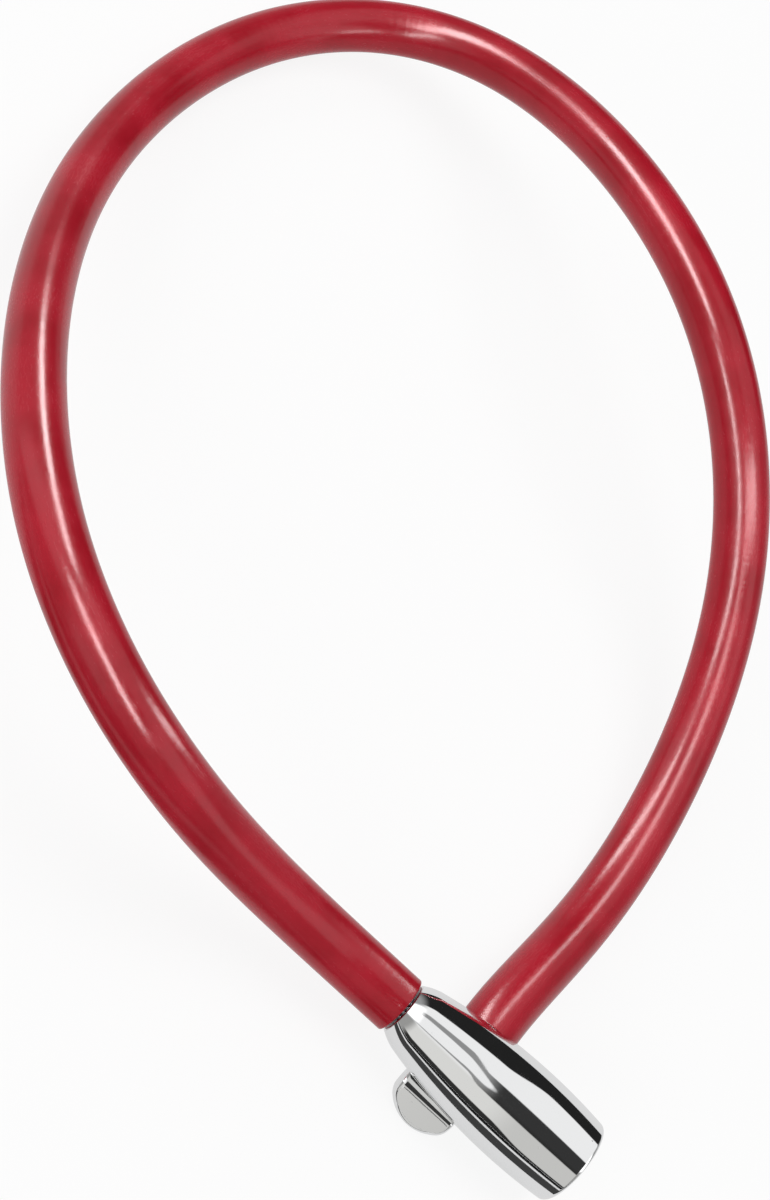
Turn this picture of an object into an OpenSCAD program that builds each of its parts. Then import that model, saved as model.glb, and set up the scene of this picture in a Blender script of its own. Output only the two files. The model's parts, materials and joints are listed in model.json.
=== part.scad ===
// Keyed cable lock for luggage: a barrel housing, a jacketed steel cable fixed in its narrow end,
// and a locking plug on the cable's other end that enters the barrel from the side.
// The barrel lies along X with its key end at +X. The plug enters along -Y, and the cable's warped
// loop rests on the same surface as the barrel. Stations along the barrel count from the plug's axis.

/* [Housing] */
// Distance from the plug's axis to the narrow end
nose_len = 16; // [14:0.5:20]
// Distance from the plug's axis to the key end
tail_len = 28; // [25:0.5:34]
// Largest radius of the barrel
belly_r = 9.8; // [9.4:0.1:12]
// Station of the largest radius
belly_at = 14; // [10:0.5:16]
// Radius of the long arc that swells the barrel
flank_r = 125; // [100:5:200]
// Station where the long arc turns into the nose
shoulder_at = -12; // [-13:0.5:-11]
// Radius of the nose's arc
nose_r = 13; // [11:0.5:16]
// Rounding of the key end's rim
rim_r = 0.9; // [0.4:0.1:1.2]
// Rounding of the narrow lip
lip_r = 0.4; // [0.2:0.05:0.5]

/* [Badge lug] */
// Width of the lug on the side away from the plug
lug_w = 13.3; // [12:0.1:14]
// How far the lug stands out of the barrel
lug_out = 6.9; // [6:0.1:8]
// Radius of the lug's round end, seen square to its face
lug_end_r = 8.5; // [7.5:0.1:10]
// Thickness of the lug under its own middle plane
lug_t = 4.2; // [3:0.1:5]
// Angle the lug droops below level
lug_droop = 33.7; // [30:0.1:36]
// Distance from the barrel to the lug's ridge
ridge_out = 1.1; // [0.8:0.1:1.6]
// Rise of the ridge above the lug's middle plane
ridge_rise = 0.6; // [0.2:0.1:1]
// Slope of the short roof between barrel and ridge
roof_slope = 31; // [25:1:35]
// Slope of the long face beyond the ridge
face_slope = 13; // [10:1:15]
// Border of the face around the badge plate
badge_in = 0.7; // [0.5:0.1:1.2]
// Thickness of the bare badge plate
badge_t = 0.9; // [0.6:0.1:1]
// How far the badge plate stands proud of the face
badge_proud = 0.15; // [0.05:0.05:0.3]

/* [Locking plug] */
// Diameter of the locking plug
plug_d = 9; // [8.6:0.1:9.2]
// Distance from the barrel's axis to the plug's tip
plug_reach = 7.2; // [7.15:0.05:7.3]
// Chamfer on the plug's tip
tip_chamfer = 1; // [0.8:0.05:1]
// Radius left in the latch groove
groove_r = 3; // [2.8:0.05:3.05]
// Depth below the barrel's surface of the flat that the plug's washer closes on
spot_sunk = 2.4; // [1:0.1:2.5]
// Thickness of the washer between plug and jacket
washer_t = 0.4; // [0.3:0.1:0.8]
// Radius of that washer
washer_r = 5.7; // [5.2:0.1:5.9]
// Depth of the rope's socket in the plug
socket_len = 8; // [5:0.5:9]
// How far the plug pulls out
pull_len = 22; // [20:1:30]

/* [Cable] */
// Diameter of the cable over its jacket
cable_d = 12; // [11:0.5:12]
// Diameter of the steel rope in the jacket
rope_d = 5; // [4:0.5:6]
// Gap between the jacket's end and the narrow lip
lip_gap = 0.6; // [0.3:0.1:1.5]
// Radius of the ferrule on the rope's fixed end
ferrule_r = 4.5; // [4:0.1:4.6]
// Length of that ferrule
ferrule_len = 9.6; // [8:0.2:9.8]
// Width of the ring that keeps the ferrule in
ring_w = 1; // [0.8:0.1:1.2]
// Depth of the ring's seat in the housing and in the ferrule
ring_bite = 0.45; // [0.3:0.05:0.6]

/* [Key cylinder] */
// Radius of the cylinder shell
shell_r = 6.6; // [6.4:0.1:7]
// Station of the shell's inner end
shell_from = 7.2; // [7:0.1:8]
// How far the cylinder's face lies inside the key end
face_in = 0.6; // [0.3:0.1:1]
// Radius of the turning key plug
core_r = 4.6; // [4.4:0.05:4.8]
// Radius of the key plug's head
head_r = 5.6; // [5.2:0.1:5.8]
// Thickness of the key plug's head
head_t = 1.2; // [0.8:0.1:1.6]
// Radius of the key plug's tail
tail_r = 2.4; // [2.2:0.1:2.6]
// Width of the tail's square end
square_w = 3.2; // [2.8:0.1:3.2]
// Width of the keyway
keyway_w = 1.8; // [1.4:0.1:2]
// Height of the keyway
keyway_h = 6.4; // [5:0.2:6.6]
// Depth of the chamfer around the keyway's mouth
keyway_chamfer = 0.5; // [0.2:0.1:0.6]
// Radius of the pin that keeps the shell in
pin_r = 0.9; // [0.6:0.1:1.2]
// Station of that pin
pin_at = 9.9; // [9.6:0.1:10]

/* [Wafers] */
// Number of wafers
wafer_count = 5; // [3:1:5]
// Thickness of a wafer
wafer_t = 1.4; // [1:0.1:1.5]
// Width of a wafer
wafer_w = 6.2; // [5.8:0.1:6.4]
// Spacing of the wafers along the key
wafer_pitch = 2.7; // [2.5:0.1:2.8]
// Station of the first wafer
wafer_from = 12; // [11.8:0.1:12.4]
// How far a wafer stands out of the key plug when no key is in
wafer_lift = 0.8; // [0.5:0.1:0.9]
// Step between the key's cut depths
bit_step = 0.35; // [0.2:0.05:0.4]
// Outer radius of a wafer spring
spring_r = 0.55; // [0.5:0.05:0.6]
// Wire radius of a wafer spring
spring_wire = 0.13; // [0.1:0.01:0.15]

/* [Drive cam] */
// Radius of the drive cam
cam_r = 5.8; // [5.6:0.1:5.9]
// Inner radius of the cam's tooth
tooth_r = 4.6; // [4.55:0.05:4.8]
// Length of the tooth, towards the locking plug
tooth_len = 1.6; // [1.2:0.1:1.7]
// Angle that the tooth spans
tooth_angle = 70; // [50:5:80]
// Thickness of the cam's disc
cam_t = 1.2; // [1:0.1:1.3]
// Thickness of the clip on the key plug's tail
clip_t = 0.7; // [0.5:0.1:0.8]

/* [Clearances] */
// Radial clearance of a turning or sliding fit
run_fit = 0.06; // [0.03:0.01:0.1]
// Gap between faces that must not touch
face_gap = 0.3; // [0.2:0.05:0.4]

/* [Hidden] */
$fn = 96;
eps = 0.01;

chrome = [0.82, 0.83, 0.85];
steel = [0.55, 0.56, 0.58];
brass = [0.80, 0.66, 0.32];
zinc = [0.66, 0.66, 0.64];
red = [0.62, 0.10, 0.14];

plug_r = plug_d / 2;
bore_r = plug_r + run_fit;
cable_r = cable_d / 2;
rope_r = rope_d / 2;

// Barrel outline, as a circle centre and its reach at a station. The nose's arc starts a little
// steeper than the flank's ends, which leaves a faint crease.
crease = 2.5;
flank_c = [belly_r - flank_r, belly_at];
function flank_at(s) = flank_c.x + sqrt(pow(flank_r, 2) - pow(s - flank_c.y, 2));
shoulder = [flank_at(shoulder_at), shoulder_at];
shoulder_turn = asin((shoulder_at - belly_at) / flank_r) - crease;
nose_c = shoulder - nose_r * [cos(shoulder_turn), sin(shoulder_turn)];
function nose_at(s) = nose_c.x + sqrt(pow(nose_r, 2) - pow(s - nose_c.y, 2));

// Side of the lug, as distances out from the barrel's axis and heights over its middle plane
lug_end = flank_at(0) + lug_out;
ridge = [flank_at(0) + ridge_out, ridge_rise];
lug_root = 5;
lug_under = belly_r + 0.4;
function level_at(n) = (sin(lug_droop) * n - lug_under) / cos(lug_droop);
level_from = (lug_under - lug_t * cos(lug_droop)) / sin(lug_droop);
spot_at = flank_at(0) - spot_sunk;

// The cam runs just clear of the plug, and the groove takes its tooth at every angle
disc_from = plug_r + face_gap + 0.1;
tooth_from = disc_from - tooth_len;
chamber_r = cam_r + face_gap;
chamber_from = tooth_from - face_gap / 2;
plug_half = sqrt(pow(plug_r, 2) - pow(tooth_from, 2));
groove_in = sqrt(pow(tooth_r, 2) - pow(plug_half, 2)) - face_gap / 2;
groove_out = cam_r + face_gap;

// Washer and jacket close on the flat at the plug's mouth
washer_at = spot_at + face_gap / 3;
jacket_at = washer_at + washer_t;

face_at = tail_len - face_in;
core_from = shell_from + cam_t;
clip_at = shell_from - face_gap / 2 - clip_t;
pin_top = core_r + run_fit + 0.5;
groove_depth = core_r + run_fit + wafer_lift + face_gap / 2;
slot_w = wafer_w + 0.2;
slot_t = wafer_t + 0.1;
spring_y = slot_w / 2 - spring_r - 0.15;
spring_low = -3.3;
lug_low = -0.8;
spring_turns = 3;

// Control points of the cable's loop, round numbers chosen by eye along a cable that is bent,
// twisted a little and laid down. Its first and last points lie on the housing's two axes.
route = [
    [-nose_len - lip_gap, 0, 0], [-45, 0, 0], [-75, -15, 30], [-130, 0, 40],
    [-180, 85, 0], [-180, 165, -5], [-135, 205, 5], [-60, 150, 50],
    [-5, 120, 10], [10, 50, -10], [0, 20, 0], [0, jacket_at, 0]];
ring_count = 76;
jacket_sides = 16;
rope_sides = 12;

// Clamped cubic B-spline through a list of control points
spans = len(route) - 3;
function knot(i) = max(0, min(spans, i - 3));
function part_of(a, b) = b == 0 ? 0 : a / b;
function weight(i, d, t) = d == 0
    ? (knot(i) <= t && t < knot(i + 1) ? 1 : 0)
    : part_of(t - knot(i), knot(i + d) - knot(i)) * weight(i, d - 1, t)
      + part_of(knot(i + d + 1) - t, knot(i + d + 1) - knot(i + 1)) * weight(i + 1, d - 1, t);
function total(v, i = 0) = i == len(v) - 1 ? v[i] : v[i] + total(v, i + 1);
function spline(t) = total([for (i = [0 : spans + 2]) weight(i, 3, t) * route[i]]);
function unit(v) = v / norm(v);
centres = [for (k = [0 : ring_count]) spline(min(spans * k / ring_count, spans - 0.000001))];
headings = [for (k = [0 : ring_count])
    k == 0 ? [-1, 0, 0] : k == ring_count ? [0, -1, 0] : unit(centres[k + 1] - centres[k - 1])];

// A ring of points square to a heading, with one corner straight down
function ring(c, heading, r, sides) =
    let (across = unit(cross(heading, [0, 0, 1])), up = cross(across, heading))
    [for (k = [0 : sides - 1]) c + r * (cos(360 * k / sides) * across + sin(360 * k / sides) * up)];
function rings(path, ways, r, sides) = [for (k = [0 : len(path) - 1]) each ring(path[k], ways[k], r, sides)];
function walls(count, sides, first = 0, flip = false) = [for (k = [0 : count - 2], j = [0 : sides - 1])
    let (a = first + k * sides + j, b = first + k * sides + (j + 1) % sides, c = b + sides, d = a + sides)
    flip ? [d, c, b, a] : [a, b, c, d]];
jacket_skin = rings(centres, headings, cable_r, jacket_sides);

// The model stands on z = 0, centred on its own outline
low = [min([for (p = jacket_skin) p.x]),
       min(-lug_end * cos(lug_droop), min([for (p = jacket_skin) p.y])),
       min(-lug_under, min([for (p = jacket_skin) p.z]))];
high = [tail_len, max([for (p = jacket_skin) p.y])];
module standing() {
    translate([-(low.x + high.x) / 2, -(low.y + high.y) / 2, -low.z]) children();
}

// Turned shapes: children are half outlines with radius along x and station along y
module along_x() {
    rotate([0, 90, 0]) rotate_extrude() children();
}
module along_y() {
    rotate([-90, 0, 0]) rotate_extrude() children();
}
module rod_x(r, from, to) {
    translate([from, 0, 0]) rotate([0, 90, 0]) cylinder(h = to - from, r = r);
}
module rod_y(r, from, to) {
    translate([0, from, 0]) rotate([-90, 0, 0]) cylinder(h = to - from, r = r);
}
module block(x, y, z) {
    translate([x[0], y[0], z[0]]) cube([x[1] - x[0], y[1] - y[0], z[1] - z[0]]);
}

// What a rounded corner of radius r takes off, between two ends of its quarter
module off_corner(centre, r, out) {
    translate(centre) scale_to(out) difference() {
        square(2 * r);
        circle(r);
    }
}
module scale_to(out) {
    if (out < 0) mirror([0, 1]) children();
    else children();
}

// Centre of a rounding that touches an arc of radius big about c and the plane at station s
function touch(c, big, s, r) = let (y = s)
    [c.x + sqrt(pow(big - r, 2) - pow(y - c.y, 2)), y];

module barrel_outline() {
    difference() {
        intersection() {
            translate(flank_c) circle(flank_r, $fn = 720);
            translate([0, -nose_len]) square([belly_r + 1, nose_len + tail_len]);
        }
        difference() {
            translate([0, -nose_len - 1]) square([belly_r + 1, nose_len + 1 + shoulder_at + 0.6]);
            translate(nose_c) circle(nose_r, $fn = 180);
        }
        off_corner(touch(flank_c, flank_r, tail_len - rim_r, rim_r), rim_r, 1);
        off_corner(touch(nose_c, nose_r, lip_r - nose_len, lip_r), lip_r, -1);
    }
}

// Barrel and lug with the nose bore, the plug's cross bore, the cam chamber and the shell's seat
module lock_housing() {
    color(chrome) standing() difference() {
        union() {
            along_x() barrel_outline();
            lug();
        }
        rod_x(ferrule_r, -nose_len - 1, ferrule_len - nose_len + 0.4);
        along_x() translate([0, ring_from()]) square([ferrule_r + ring_bite, ring_w]);
        rod_x(chamber_r, chamber_from, shell_from + 1);
        rod_x(shell_r, shell_from, tail_len + 1);
        along_y() polygon([
            [0, -plug_reach - face_gap], [bore_r - tip_chamfer, -plug_reach - face_gap],
            [bore_r, tip_chamfer - plug_reach - face_gap], [bore_r, belly_r + 2], [0, belly_r + 2]]);
        on_face() translate([0, 0, badge_proud - badge_t]) linear_extrude(badge_t + 1) badge_outline();
        rod_y(cable_r + 0.2, spot_at, belly_r + 2);
        shell_pin_hole();
    }
}
module shell_pin_hole() {
    translate([pin_at, 0, -belly_r - 1]) cylinder(h = belly_r + 1 - pin_top, r = pin_r);
}

// Wedge that droops from the barrel: a short roof, a ridge, a long face, and a level underside
module lug() {
    rotate([lug_droop, 0, 0]) intersection() {
        rotate([90, 0, 90]) translate([0, 0, -lug_w / 2]) linear_extrude(lug_w) polygon([
            [-lug_root, -lug_t], [-level_from, -lug_t], [-lug_end, level_at(lug_end)],
            [-lug_end, ridge.y - (lug_end - ridge.x) * tan(face_slope)], [-ridge.x, ridge.y],
            [-lug_root, ridge.y - (ridge.x - lug_root) * tan(roof_slope)]]);
        translate([0, lug_end_r - lug_end, -2 * lug_t]) cylinder(h = 4 * lug_t, r = lug_end_r);
    }
}
module on_face() {
    rotate([lug_droop, 0, 0]) translate([0, -ridge.x, ridge.y]) rotate([face_slope, 0, 0]) children();
}
module badge_outline() {
    intersection() {
        translate([badge_in - lug_w / 2, -lug_out]) square([lug_w - 2 * badge_in, lug_out - badge_in]);
        translate([0, ridge.x + lug_end_r - lug_end]) circle(lug_end_r - badge_in, $fn = 180);
    }
}

// Bare plate let into the lug's face
module boss_cap() {
    color(chrome) standing() on_face() translate([0, 0, badge_proud - badge_t])
        linear_extrude(badge_t) badge_outline();
}

function ring_from() = ferrule_len - nose_len - 3;

// Crimped ferrule on the rope's fixed end
module end_ferrule() {
    color(steel) standing() difference() {
        rod_x(ferrule_r, -nose_len, ferrule_len - nose_len);
        rod_x(rope_r, -nose_len - 1, ferrule_len - nose_len - 1.2);
        along_x() translate([ferrule_r - ring_bite, ring_from()]) square([ring_bite + 1, ring_w]);
    }
}

// Split ring half in the housing and half in the ferrule
module ferrule_ring() {
    color(steel) standing() difference() {
        along_x() translate([ferrule_r - ring_bite, ring_from()]) square([2 * ring_bite, ring_w]);
        block([ring_from() - 1, ring_from() + ring_w + 1], [-0.6, 0.6], [0, belly_r]);
    }
}

// Steel rope: the loop's route with a straight end in the ferrule and one in the plug
module cable_rope() {
    path = concat([[ferrule_len - nose_len - 1.2, 0, 0]], centres, [[0, jacket_at - socket_len, 0]]);
    ways = concat([headings[0]], headings, [headings[ring_count]]);
    color(steel) standing() polyhedron(
        points = rings(path, ways, rope_r, rope_sides),
        faces = concat(walls(len(path), rope_sides),
            [[for (j = [rope_sides - 1 : -1 : 0]) j]],
            [[for (j = [0 : rope_sides - 1]) (len(path) - 1) * rope_sides + j]]));
}

// Jacket: a tube around the rope from the lip to the plug's washer
module cable_jacket() {
    count = len(centres);
    inside = count * jacket_sides;
    hole_r = (rope_r + 0.02) / cos(180 / jacket_sides);
    color(red) standing() polyhedron(
        points = concat(jacket_skin, rings(centres, headings, hole_r, jacket_sides)),
        faces = concat(walls(count, jacket_sides), walls(count, jacket_sides, inside, true),
            [for (j = [0 : jacket_sides - 1]) let (k = (j + 1) % jacket_sides)
                [k, j, inside + j, inside + k]],
            [for (j = [0 : jacket_sides - 1]) let (k = (j + 1) % jacket_sides, e = inside - jacket_sides)
                [e + j, e + k, e + k + inside, e + j + inside]]));
}

// Locking plug: chamfered tip, latch groove all round and a socket for the rope
module locking_plug() {
    color(steel) standing() difference() {
        along_y() polygon([
            [0, -plug_reach], [plug_r - tip_chamfer, -plug_reach], [plug_r, tip_chamfer - plug_reach],
            [plug_r, -groove_out], [groove_r, -groove_out], [groove_r, -groove_in],
            [plug_r, -groove_in], [plug_r, jacket_at], [0, jacket_at]]);
        rod_y(rope_r, jacket_at - socket_len, jacket_at + 1);
    }
}

// Chromed washer that the jacket's end shows against the barrel
module plug_washer() {
    color(chrome) standing() difference() {
        rod_y(washer_r, washer_at, jacket_at);
        rod_y(plug_r, washer_at - 1, jacket_at + 1);
    }
}

// Shell with two broached channels for the wafers, a seat for the head and the pin's hole
module cylinder_shell() {
    last = wafer_from + (wafer_count - 1) * wafer_pitch;
    channel = [wafer_from - wafer_t, last + wafer_t];
    half = slot_w / 2 + 0.05;
    color(zinc) standing() difference() {
        rod_x(shell_r, shell_from, face_at);
        rod_x(tail_r + run_fit, shell_from - 1, face_at);
        rod_x(core_r + run_fit, core_from, face_at + 1);
        rod_x(head_r + run_fit, face_at - head_t - face_gap / 3, face_at + 1);
        block(channel, [-half, half], [0, groove_depth]);
        block(channel, [-groove_depth, 0], [-half, half]);
        shell_pin_hole();
    }
}

// Pin through the barrel's underside into the shell
module cylinder_pin() {
    bottom = -flank_at(pin_at) + 0.3;
    color(steel) standing()
        translate([pin_at, 0, bottom]) cylinder(h = -bottom - pin_top - run_fit, r = pin_r);
}

// Key plug: head, barrel with wafer slots and keyway, tail with a clip groove and a square end
module key_plug() {
    from = core_from + face_gap / 3;
    color(brass) standing() difference() {
        union() {
            rod_x(core_r, from, face_at - eps);
            rod_x(head_r, face_at - head_t, face_at);
            rod_x(tail_r, disc_from + cam_t, from + 1);
            block([disc_from, from], [-square_w / 2, square_w / 2], [-square_w / 2, square_w / 2]);
        }
        along_x() translate([tail_r - 0.4, clip_at]) square([2, clip_t]);
        block([from + 1, face_at + 1], [-keyway_w / 2, keyway_w / 2], [-keyway_h / 2, keyway_h / 2]);
        keyway_mouth();
        for (i = [0 : wafer_count - 1]) wafer_slot(wafer_from + i * wafer_pitch);
    }
}
module keyway_mouth() {
    wide = keyway_w / 2;
    tall = keyway_h / 2;
    translate([face_at, 0, 0]) rotate([0, -90, 0]) intersection() {
        translate([-tall - 1, 0, 0]) rotate([0, 90, 0]) linear_extrude(2 * tall + 2) polygon([
            [-keyway_chamfer, 0], [0, -wide], [keyway_chamfer, -wide - keyway_chamfer],
            [keyway_chamfer, wide + keyway_chamfer], [0, wide]]);
        translate([-tall - keyway_chamfer, -5, -2]) cube([2 * (tall + keyway_chamfer), 10, 4]);
    }
}
module wafer_slot(x) {
    difference() {
        block([x - slot_t / 2, x + slot_t / 2], [-slot_w / 2, slot_w / 2], [-head_r, head_r]);
        block([x - slot_t, x + slot_t], [spring_y - spring_r - 0.1, slot_w], [-head_r, spring_low]);
    }
}

// Clip that keeps the key plug from coming out forwards
module tail_clip() {
    color(steel) standing() difference() {
        rod_x(tail_r + 1.4, clip_at, clip_at + clip_t);
        rod_x(tail_r - 0.4, clip_at - 1, clip_at + clip_t + 1);
        block([clip_at - 1, clip_at + clip_t + 1], [-1.2, 1.2], [-2 * tail_r, 0]);
    }
}

// Drive cam: a disc on the tail's square with one tooth that swings into the plug's groove
module drive_cam() {
    half = square_w / 2;
    color(steel) standing() difference() {
        rod_x(cam_r, tooth_from, disc_from + cam_t);
        rod_x(tooth_r, tooth_from - 1, disc_from);
        translate([tooth_from - 1, 0, 0]) rotate([0, 90, 0])
            rotate([0, 0, 180 + tooth_angle / 2]) rotate_extrude(angle = 360 - tooth_angle)
                translate([tooth_r - 1, 0]) square([cam_r - tooth_r + 2, tooth_len + 1]);
        block([disc_from - 1, disc_from + cam_t + 1], [-half, half], [-half, half]);
    }
}

// Wafer number i: a plate with round ends, a window at the height its key cut asks and a spring lug
module wafer(i) {
    x = wafer_from + i * wafer_pitch;
    cut = [1, -1, 0, -1, 1][i] * bit_step;
    tall = keyway_h / 2 - 0.3;
    color(brass) standing() difference() {
        intersection() {
            block([x - wafer_t / 2, x + wafer_t / 2], [-wafer_w / 2, wafer_w / 2], [-core_r, core_r]);
            rod_x(core_r - 0.05, x - wafer_t, x + wafer_t);
        }
        block([x - wafer_t, x + wafer_t], [-keyway_w / 2 - 0.05, keyway_w / 2 + 0.05], [cut - tall, cut + tall]);
        block([x - wafer_t, x + wafer_t], [spring_y - spring_r - 0.15, wafer_w], [-core_r - 1, lug_low]);
    }
}

// Coil spring under the lug of wafer number i
module wafer_spring(i) {
    sides = 6;
    steps = 10 * spring_turns;
    mid_r = spring_r - spring_wire;
    bottom = spring_low + spring_wire + 0.01;
    rise = lug_low - spring_low - 2 * spring_wire - 0.02;
    coil = [for (k = [0 : steps]) [mid_r * cos(36 * k), mid_r * sin(36 * k), bottom + rise * k / steps]];
    ways = [for (k = [0 : steps]) unit([-sin(36 * k), cos(36 * k), rise / steps])];
    color(steel) standing() translate([wafer_from + i * wafer_pitch, spring_y, 0]) polyhedron(
        points = rings(coil, ways, spring_wire, sides),
        faces = concat(walls(len(coil), sides),
            [[for (j = [sides - 1 : -1 : 0]) j]],
            [[for (j = [0 : sides - 1]) (len(coil) - 1) * sides + j]]));
}

lock_housing();
boss_cap();
end_ferrule();
ferrule_ring();
cable_rope();
cable_jacket();
locking_plug();
plug_washer();
cylinder_shell();
cylinder_pin();
key_plug();
tail_clip();
drive_cam();
for (i = [0 : wafer_count - 1]) {
    wafer(i);
    wafer_spring(i);
}
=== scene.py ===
import json
import bpy
import bmesh
import numpy as np
from mathutils import Matrix


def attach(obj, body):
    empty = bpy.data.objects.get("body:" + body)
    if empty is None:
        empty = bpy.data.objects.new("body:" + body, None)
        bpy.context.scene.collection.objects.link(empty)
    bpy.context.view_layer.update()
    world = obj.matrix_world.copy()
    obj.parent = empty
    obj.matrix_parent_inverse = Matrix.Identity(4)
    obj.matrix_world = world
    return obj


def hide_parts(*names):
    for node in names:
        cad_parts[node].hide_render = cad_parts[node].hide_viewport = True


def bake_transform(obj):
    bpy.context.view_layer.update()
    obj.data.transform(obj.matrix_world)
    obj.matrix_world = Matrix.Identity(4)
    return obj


# Looks for the keyed cable lock: jacketed cable, chromed barrel with its lug, locking plug and key cylinder.
# Every piece's dictionary is in millimetres and degrees, in the barrel's own frame: +X to the key end, +Y the
# way the locking plug comes out, +Z up, with zero where the plug's axis crosses the barrel's. Finishes are in
# metres, as Blender's bump is.
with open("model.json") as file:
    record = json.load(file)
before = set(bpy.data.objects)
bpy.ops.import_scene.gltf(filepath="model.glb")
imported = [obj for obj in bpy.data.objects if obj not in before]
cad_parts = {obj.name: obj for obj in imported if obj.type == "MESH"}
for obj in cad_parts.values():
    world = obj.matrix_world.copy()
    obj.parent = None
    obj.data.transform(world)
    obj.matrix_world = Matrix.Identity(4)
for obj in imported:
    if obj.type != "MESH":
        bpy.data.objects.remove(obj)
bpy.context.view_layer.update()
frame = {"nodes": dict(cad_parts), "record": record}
pull = next(j for j in frame["record"]["behaviour"]["joints"] if j["name"] == "plug_pull")
crossing = np.array(pull["pos_m"])
print("frame loaded, axes cross at", crossing.round(4))


def placed(points):
    # millimetres in the barrel's frame -> metres in the row's frame
    return crossing + 0.001 * np.asarray(points, float)


# camera: its place and directions were found by the same search as the cable's route
view = {"position": (-92.24, -162.11, 339.31), "right": (0.7295, 0.5443, 0.4142),
        "up": (-0.6815, 0.6295, 0.3732), "lens": 60, "film": 36}


def makeCamera():
    right = np.array(view["right"]) / np.linalg.norm(view["right"])
    back = np.cross(right, view["up"])
    back /= np.linalg.norm(back)
    turned = np.eye(4)
    turned[:3, 0], turned[:3, 1], turned[:3, 2] = right, np.cross(back, right), back
    turned[:3, 3] = placed(view["position"])
    lens = bpy.data.cameras.new("camera")
    lens.lens, lens.sensor_width, lens.clip_start = view["lens"], view["film"], 0.01
    camera = bpy.data.objects.new("camera", lens)
    camera.matrix_world = Matrix(turned.tolist())
    bpy.context.collection.objects.link(camera)
    bpy.context.scene.camera = camera


makeCamera()
print("camera placed")


# meshes
def quads(rows, columns, aroundRows=False, aroundColumns=False):
    # corner numbers of every cell of a grid, closed round either way where asked
    r, c = np.meshgrid(np.arange(rows if aroundRows else rows - 1),
                       np.arange(columns if aroundColumns else columns - 1), indexing="ij")
    r, c = r.ravel(), c.ravel()
    nr, nc = (r + 1) % rows, (c + 1) % columns
    return (np.stack([r * columns + c, nr * columns + c, nr * columns + nc, r * columns + nc], 1),
            np.stack([r, c, r + 1, c, r + 1, c + 1, r, c + 1], 1).reshape(-1, 4, 2))


def makePiece(name, sheets, finish, sharp=32, layout=None):
    # sheets: (grid of points, closed along rows, closed along columns). They are joined where their edges
    # meet, turned to face outwards, and creased where neighbouring faces differ by more than sharp degrees.
    # layout: steps of the row and column numbers that make the UV map.
    points, faces, cells, start = [], [], [], 0
    for grid, aroundRows, aroundColumns in sheets:
        rows, columns = grid.shape[:2]
        corner, cell = quads(rows, columns, aroundRows, aroundColumns)
        points.append(grid.reshape(-1, 3))
        faces.append(corner + start)
        cells.append(cell)
        start += rows * columns
    points, faces, cells = placed(np.concatenate(points)), np.concatenate(faces), np.concatenate(cells)
    mesh = bpy.data.meshes.new(name)
    mesh.vertices.add(len(points))
    mesh.vertices.foreach_set("co", points.ravel())
    mesh.loops.add(faces.size)
    mesh.loops.foreach_set("vertex_index", faces.ravel())
    mesh.polygons.add(len(faces))
    mesh.polygons.foreach_set("loop_start", np.arange(len(faces)) * 4)
    if layout is not None:
        mapped = layout(cells[..., 0].astype(float), cells[..., 1].astype(float))
        mesh.uv_layers.new(name="run").data.foreach_set("uv", np.stack(mapped, -1).ravel())
    mesh.update(calc_edges=True)
    work = bmesh.new()
    work.from_mesh(mesh)
    bmesh.ops.remove_doubles(work, verts=work.verts, dist=2e-6)
    bmesh.ops.dissolve_degenerate(work, edges=work.edges, dist=1e-7)
    bmesh.ops.recalc_face_normals(work, faces=work.faces)
    work.to_mesh(mesh)
    work.free()
    mesh.shade_smooth()
    mesh.set_sharp_from_angle(angle=np.radians(sharp))
    mesh.materials.append(finish)
    piece = bpy.data.objects.new(name, mesh)
    bpy.context.collection.objects.link(piece)
    return piece


def arc(centre, radius, first, last, steps=10):
    # part circle in (along, out): centre + radius (sin a, cos a), a in degrees from outward towards +along
    a = np.radians(np.linspace(first, last, steps))
    return np.stack([centre[0] + radius * np.sin(a), centre[1] + radius * np.cos(a)], 1)


def turned(profile, axis, around=160):
    # a profile of (along, out) spun about the barrel's X axis or the plug's Y axis: out (cos a, sin a)
    profile = np.asarray(profile, float)
    a = np.arange(around) / around * 2 * np.pi
    along = np.repeat(profile[:, :1], around, 1)
    side, rise = profile[:, 1:] * np.cos(a), profile[:, 1:] * np.sin(a)
    return np.stack([along, side, rise] if axis == "x" else [side, along, rise], -1)


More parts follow.
